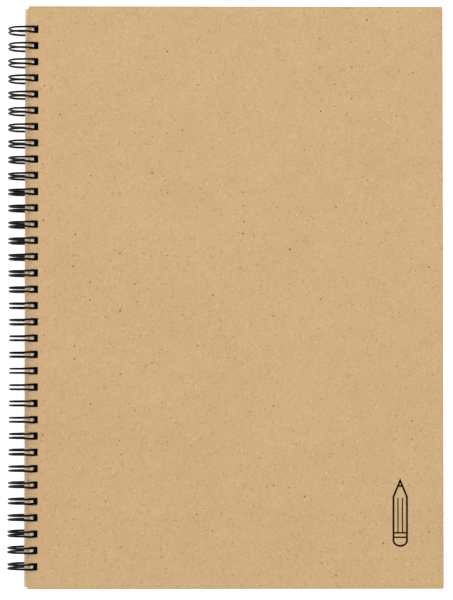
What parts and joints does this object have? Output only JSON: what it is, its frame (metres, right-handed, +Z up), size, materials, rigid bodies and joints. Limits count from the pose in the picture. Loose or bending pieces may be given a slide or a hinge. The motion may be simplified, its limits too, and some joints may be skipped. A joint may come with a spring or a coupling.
{
  "type": "wire-bound sketchbook",
  "caption": "A4 portrait sketchbook with plain kraft board covers, white drawing leaves and a black twin-loop wire binding along its left side.",
  "frame": {"origin": "bottom centre of the closed book, below the back cover, where the lowest points of the wire loops rest", "axes": "+Y along the binding towards the head of the pages, +Z up through the front cover of the closed book, +X from the binding to the fore edge"},
  "size_m": [0.227, 0.303, 0.0166],
  "materials": {
    "kraft_board": "matte",
    "drawing_paper": "matte",
    "black_wire": "satin"
  },
  "bodies": {
    "base": {"back_cover": "kraft_board", "binding_wire": "black_wire"},
    "front_cover": {"front_cover": "kraft_board"},
    "leaf_01": {"leaf_01": "drawing_paper"},
    "leaf_02": {"leaf_02": "drawing_paper"},
    "leaf_03": {"leaf_03": "drawing_paper"},
    "leaf_04": {"leaf_04": "drawing_paper"},
    "leaf_05": {"leaf_05": "drawing_paper"},
    "leaf_06": {"leaf_06": "drawing_paper"},
    "leaf_07": {"leaf_07": "drawing_paper"},
    "leaf_08": {"leaf_08": "drawing_paper"},
    "leaf_09": {"leaf_09": "drawing_paper"},
    "leaf_10": {"leaf_10": "drawing_paper"},
    "leaf_11": {"leaf_11": "drawing_paper"},
    "leaf_12": {"leaf_12": "drawing_paper"},
    "leaf_13": {"leaf_13": "drawing_paper"},
    "leaf_14": {"leaf_14": "drawing_paper"},
    "leaf_15": {"leaf_15": "drawing_paper"},
    "leaf_16": {"leaf_16": "drawing_paper"},
    "leaf_17": {"leaf_17": "drawing_paper"},
    "leaf_18": {"leaf_18": "drawing_paper"},
    "leaf_19": {"leaf_19": "drawing_paper"},
    "leaf_20": {"leaf_20": "drawing_paper"},
    "leaf_21": {"leaf_21": "drawing_paper"},
    "leaf_22": {"leaf_22": "drawing_paper"},
    "leaf_23": {"leaf_23": "drawing_paper"},
    "leaf_24": {"leaf_24": "drawing_paper"},
    "leaf_25": {"leaf_25": "drawing_paper"},
    "leaf_26": {"leaf_26": "drawing_paper"},
    "leaf_27": {"leaf_27": "drawing_paper"},
    "leaf_28": {"leaf_28": "drawing_paper"},
    "leaf_29": {"leaf_29": "drawing_paper"},
    "leaf_30": {"leaf_30": "drawing_paper"},
    "leaf_31": {"leaf_31": "drawing_paper"},
    "leaf_32": {"leaf_32": "drawing_paper"},
    "leaf_33": {"leaf_33": "drawing_paper"},
    "leaf_34": {"leaf_34": "drawing_paper"},
    "leaf_35": {"leaf_35": "drawing_paper"},
    "leaf_36": {"leaf_36": "drawing_paper"},
    "leaf_37": {"leaf_37": "drawing_paper"},
    "leaf_38": {"leaf_38": "drawing_paper"},
    "leaf_39": {"leaf_39": "drawing_paper"},
    "leaf_40": {"leaf_40": "drawing_paper"}
  },
  "joints": [
    {"name": "front_cover_hinge", "type": "hinge", "parent": "base", "child": "front_cover", "pos_m": [-0.10523, 0, 0.0083], "axis": [0, -1, 0], "range_deg": [0, 180]},
    {"name": "leaf_01_hinge", "type": "hinge", "parent": "base", "child": "leaf_01", "pos_m": [-0.10523, 0, 0.0083], "axis": [0, -1, 0], "range_deg": [0, 179.02]},
    {"name": "leaf_02_hinge", "type": "hinge", "parent": "base", "child": "leaf_02", "pos_m": [-0.10523, 0, 0.0083], "axis": [0, -1, 0], "range_deg": [0, 177.99]},
    {"name": "leaf_03_hinge", "type": "hinge", "parent": "base", "child": "leaf_03", "pos_m": [-0.10523, 0, 0.0083], "axis": [0, -1, 0], "range_deg": [0, 176.93]},
    {"name": "leaf_04_hinge", "type": "hinge", "parent": "base", "child": "leaf_04", "pos_m": [-0.10523, 0, 0.0083], "axis": [0, -1, 0], "range_deg": [0, 175.81]},
    {"name": "leaf_05_hinge", "type": "hinge", "parent": "base", "child": "leaf_05", "pos_m": [-0.10523, 0, 0.0083], "axis": [0, -1, 0], "range_deg": [0, 174.64]},
    {"name": "leaf_06_hinge", "type": "hinge", "parent": "base", "child": "leaf_06", "pos_m": [-0.10523, 0, 0.0083], "axis": [0, -1, 0], "range_deg": [0, 173.4]},
    {"name": "leaf_07_hinge", "type": "hinge", "parent": "base", "child": "leaf_07", "pos_m": [-0.10523, 0, 0.0083], "axis": [0, -1, 0], "range_deg": [0, 172.1]},
    {"name": "leaf_08_hinge", "type": "hinge", "parent": "base", "child": "leaf_08", "pos_m": [-0.10523, 0, 0.0083], "axis": [0, -1, 0], "range_deg": [0, 170.72]},
    {"name": "leaf_09_hinge", "type": "hinge", "parent": "base", "child": "leaf_09", "pos_m": [-0.10523, 0, 0.0083], "axis": [0, -1, 0], "range_deg": [0, 169.26]},
    {"name": "leaf_10_hinge", "type": "hinge", "parent": "base", "child": "leaf_10", "pos_m": [-0.10523, 0, 0.0083], "axis": [0, -1, 0], "range_deg": [0, 167.69]},
    {"name": "leaf_11_hinge", "type": "hinge", "parent": "base", "child": "leaf_11", "pos_m": [-0.10523, 0, 0.0083], "axis": [0, -1, 0], "range_deg": [0, 166]},
    {"name": "leaf_12_hinge", "type": "hinge", "parent": "base", "child": "leaf_12", "pos_m": [-0.10523, 0, 0.0083], "axis": [0, -1, 0], "range_deg": [0, 164.16]},
    {"name": "leaf_13_hinge", "type": "hinge", "parent": "base", "child": "leaf_13", "pos_m": [-0.10523, 0, 0.0083], "axis": [0, -1, 0], "range_deg": [0, 162.15]},
    {"name": "leaf_14_hinge", "type": "hinge", "parent": "base", "child": "leaf_14", "pos_m": [-0.10523, 0, 0.0083], "axis": [0, -1, 0], "range_deg": [0, 159.92]},
    {"name": "leaf_15_hinge", "type": "hinge", "parent": "base", "child": "leaf_15", "pos_m": [-0.10523, 0, 0.0083], "axis": [0, -1, 0], "range_deg": [0, 157.38]},
    {"name": "leaf_16_hinge", "type": "hinge", "parent": "base", "child": "leaf_16", "pos_m": [-0.10523, 0, 0.0083], "axis": [0, -1, 0], "range_deg": [0, 154.48]},
    {"name": "leaf_17_hinge", "type": "hinge", "parent": "base", "child": "leaf_17", "pos_m": [-0.10523, 0, 0.0083], "axis": [0, -1, 0], "range_deg": [0, 151.01]},
    {"name": "leaf_18_hinge", "type": "hinge", "parent": "base", "child": "leaf_18", "pos_m": [-0.10523, 0, 0.0083], "axis": [0, -1, 0], "range_deg": [0, 146.65]},
    {"name": "leaf_19_hinge", "type": "hinge", "parent": "base", "child": "leaf_19", "pos_m": [-0.10523, 0, 0.0083], "axis": [0, -1, 0], "range_deg": [0, 140.64]},
    {"name": "leaf_20_hinge", "type": "hinge", "parent": "base", "child": "leaf_20", "pos_m": [-0.10523, 0, 0.0083], "axis": [0, -1, 0], "range_deg": [0, 129.77]},
    {"name": "leaf_21_hinge", "type": "hinge", "parent": "base", "child": "leaf_21", "pos_m": [-0.10523, 0, 0.0083], "axis": [0, -1, 0], "range_deg": [0, 50.24]},
    {"name": "leaf_22_hinge", "type": "hinge", "parent": "base", "child": "leaf_22", "pos_m": [-0.10523, 0, 0.0083], "axis": [0, -1, 0], "range_deg": [0, 39.37]},
    {"name": "leaf_23_hinge", "type": "hinge", "parent": "base", "child": "leaf_23", "pos_m": [-0.10523, 0, 0.0083], "axis": [0, -1, 0], "range_deg": [0, 33.36]},
    {"name": "leaf_24_hinge", "type": "hinge", "parent": "base", "child": "leaf_24", "pos_m": [-0.10523, 0, 0.0083], "axis": [0, -1, 0], "range_deg": [0, 29]},
    {"name": "leaf_25_hinge", "type": "hinge", "parent": "base", "child": "leaf_25", "pos_m": [-0.10523, 0, 0.0083], "axis": [0, -1, 0], "range_deg": [0, 25.53]},
    {"name": "leaf_26_hinge", "type": "hinge", "parent": "base", "child": "leaf_26", "pos_m": [-0.10523, 0, 0.0083], "axis": [0, -1, 0], "range_deg": [0, 22.63]},
    {"name": "leaf_27_hinge", "type": "hinge", "parent": "base", "child": "leaf_27", "pos_m": [-0.10523, 0, 0.0083], "axis": [0, -1, 0], "range_deg": [0, 20.09]},
    {"name": "leaf_28_hinge", "type": "hinge", "parent": "base", "child": "leaf_28", "pos_m": [-0.10523, 0, 0.0083], "axis": [0, -1, 0], "range_deg": [0, 17.86]},
    {"name": "leaf_29_hinge", "type": "hinge", "parent": "base", "child": "leaf_29", "pos_m": [-0.10523, 0, 0.0083], "axis": [0, -1, 0], "range_deg": [0, 15.85]},
    {"name": "leaf_30_hinge", "type": "hinge", "parent": "base", "child": "leaf_30", "pos_m": [-0.10523, 0, 0.0083], "axis": [0, -1, 0], "range_deg": [0, 14.01]},
    {"name": "leaf_31_hinge", "type": "hinge", "parent": "base", "child": "leaf_31", "pos_m": [-0.10523, 0, 0.0083], "axis": [0, -1, 0], "range_deg": [0, 12.32]},
    {"name": "leaf_32_hinge", "type": "hinge", "parent": "base", "child": "leaf_32", "pos_m": [-0.10523, 0, 0.0083], "axis": [0, -1, 0], "range_deg": [0, 10.75]},
    {"name": "leaf_33_hinge", "type": "hinge", "parent": "base", "child": "leaf_33", "pos_m": [-0.10523, 0, 0.0083], "axis": [0, -1, 0], "range_deg": [0, 9.29]},
    {"name": "leaf_34_hinge", "type": "hinge", "parent": "base", "child": "leaf_34", "pos_m": [-0.10523, 0, 0.0083], "axis": [0, -1, 0], "range_deg": [0, 7.91]},
    {"name": "leaf_35_hinge", "type": "hinge", "parent": "base", "child": "leaf_35", "pos_m": [-0.10523, 0, 0.0083], "axis": [0, -1, 0], "range_deg": [0, 6.61]},
    {"name": "leaf_36_hinge", "type": "hinge", "parent": "base", "child": "leaf_36", "pos_m": [-0.10523, 0, 0.0083], "axis": [0, -1, 0], "range_deg": [0, 5.37]},
    {"name": "leaf_37_hinge", "type": "hinge", "parent": "base", "child": "leaf_37", "pos_m": [-0.10523, 0, 0.0083], "axis": [0, -1, 0], "range_deg": [0, 4.2]},
    {"name": "leaf_38_hinge", "type": "hinge", "parent": "base", "child": "leaf_38", "pos_m": [-0.10523, 0, 0.0083], "axis": [0, -1, 0], "range_deg": [0, 3.08]},
    {"name": "leaf_39_hinge", "type": "hinge", "parent": "base", "child": "leaf_39", "pos_m": [-0.10523, 0, 0.0083], "axis": [0, -1, 0], "range_deg": [0, 2.02]},
    {"name": "leaf_40_hinge", "type": "hinge", "parent": "base", "child": "leaf_40", "pos_m": [-0.10523, 0, 0.0083], "axis": [0, -1, 0], "range_deg": [0, 0.99]}
  ],
  "couplings": [
    {"joint": "leaf_01_hinge", "follows": "front_cover_hinge", "ratio": 0.9945},
    {"joint": "leaf_02_hinge", "follows": "front_cover_hinge", "ratio": 0.9888},
    {"joint": "leaf_03_hinge", "follows": "front_cover_hinge", "ratio": 0.9829},
    {"joint": "leaf_04_hinge", "follows": "front_cover_hinge", "ratio": 0.9767},
    {"joint": "leaf_05_hinge", "follows": "front_cover_hinge", "ratio": 0.9702},
    {"joint": "leaf_06_hinge", "follows": "front_cover_hinge", "ratio": 0.9633},
    {"joint": "leaf_07_hinge", "follows": "front_cover_hinge", "ratio": 0.9561},
    {"joint": "leaf_08_hinge", "follows": "front_cover_hinge", "ratio": 0.9484},
    {"joint": "leaf_09_hinge", "follows": "front_cover_hinge", "ratio": 0.9403},
    {"joint": "leaf_10_hinge", "follows": "front_cover_hinge", "ratio": 0.9316},
    {"joint": "leaf_11_hinge", "follows": "front_cover_hinge", "ratio": 0.9222},
    {"joint": "leaf_12_hinge", "follows": "front_cover_hinge", "ratio": 0.912},
    {"joint": "leaf_13_hinge", "follows": "front_cover_hinge", "ratio": 0.9008},
    {"joint": "leaf_14_hinge", "follows": "front_cover_hinge", "ratio": 0.8884},
    {"joint": "leaf_15_hinge", "follows": "front_cover_hinge", "ratio": 0.8743},
    {"joint": "leaf_16_hinge", "follows": "front_cover_hinge", "ratio": 0.8582},
    {"joint": "leaf_17_hinge", "follows": "front_cover_hinge", "ratio": 0.8389},
    {"joint": "leaf_18_hinge", "follows": "front_cover_hinge", "ratio": 0.8147},
    {"joint": "leaf_19_hinge", "follows": "front_cover_hinge", "ratio": 0.7813},
    {"joint": "leaf_20_hinge", "follows": "front_cover_hinge", "ratio": 0.7209},
    {"joint": "leaf_21_hinge", "follows": "front_cover_hinge", "ratio": 0.2791},
    {"joint": "leaf_22_hinge", "follows": "front_cover_hinge", "ratio": 0.2187},
    {"joint": "leaf_23_hinge", "follows": "front_cover_hinge", "ratio": 0.1853},
    {"joint": "leaf_24_hinge", "follows": "front_cover_hinge", "ratio": 0.1611},
    {"joint": "leaf_25_hinge", "follows": "front_cover_hinge", "ratio": 0.1418},
    {"joint": "leaf_26_hinge", "follows": "front_cover_hinge", "ratio": 0.1257},
    {"joint": "leaf_27_hinge", "follows": "front_cover_hinge", "ratio": 0.1116},
    {"joint": "leaf_28_hinge", "follows": "front_cover_hinge", "ratio": 0.0992},
    {"joint": "leaf_29_hinge", "follows": "front_cover_hinge", "ratio": 0.088},
    {"joint": "leaf_30_hinge", "follows": "front_cover_hinge", "ratio": 0.0778},
    {"joint": "leaf_31_hinge", "follows": "front_cover_hinge", "ratio": 0.0684},
    {"joint": "leaf_32_hinge", "follows": "front_cover_hinge", "ratio": 0.0597},
    {"joint": "leaf_33_hinge", "follows": "front_cover_hinge", "ratio": 0.0516},
    {"joint": "leaf_34_hinge", "follows": "front_cover_hinge", "ratio": 0.0439},
    {"joint": "leaf_35_hinge", "follows": "front_cover_hinge", "ratio": 0.0367},
    {"joint": "leaf_36_hinge", "follows": "front_cover_hinge", "ratio": 0.0298},
    {"joint": "leaf_37_hinge", "follows": "front_cover_hinge", "ratio": 0.0233},
    {"joint": "leaf_38_hinge", "follows": "front_cover_hinge", "ratio": 0.0171},
    {"joint": "leaf_39_hinge", "follows": "front_cover_hinge", "ratio": 0.0112},
    {"joint": "leaf_40_hinge", "follows": "front_cover_hinge", "ratio": 0.0055}
  ]
}
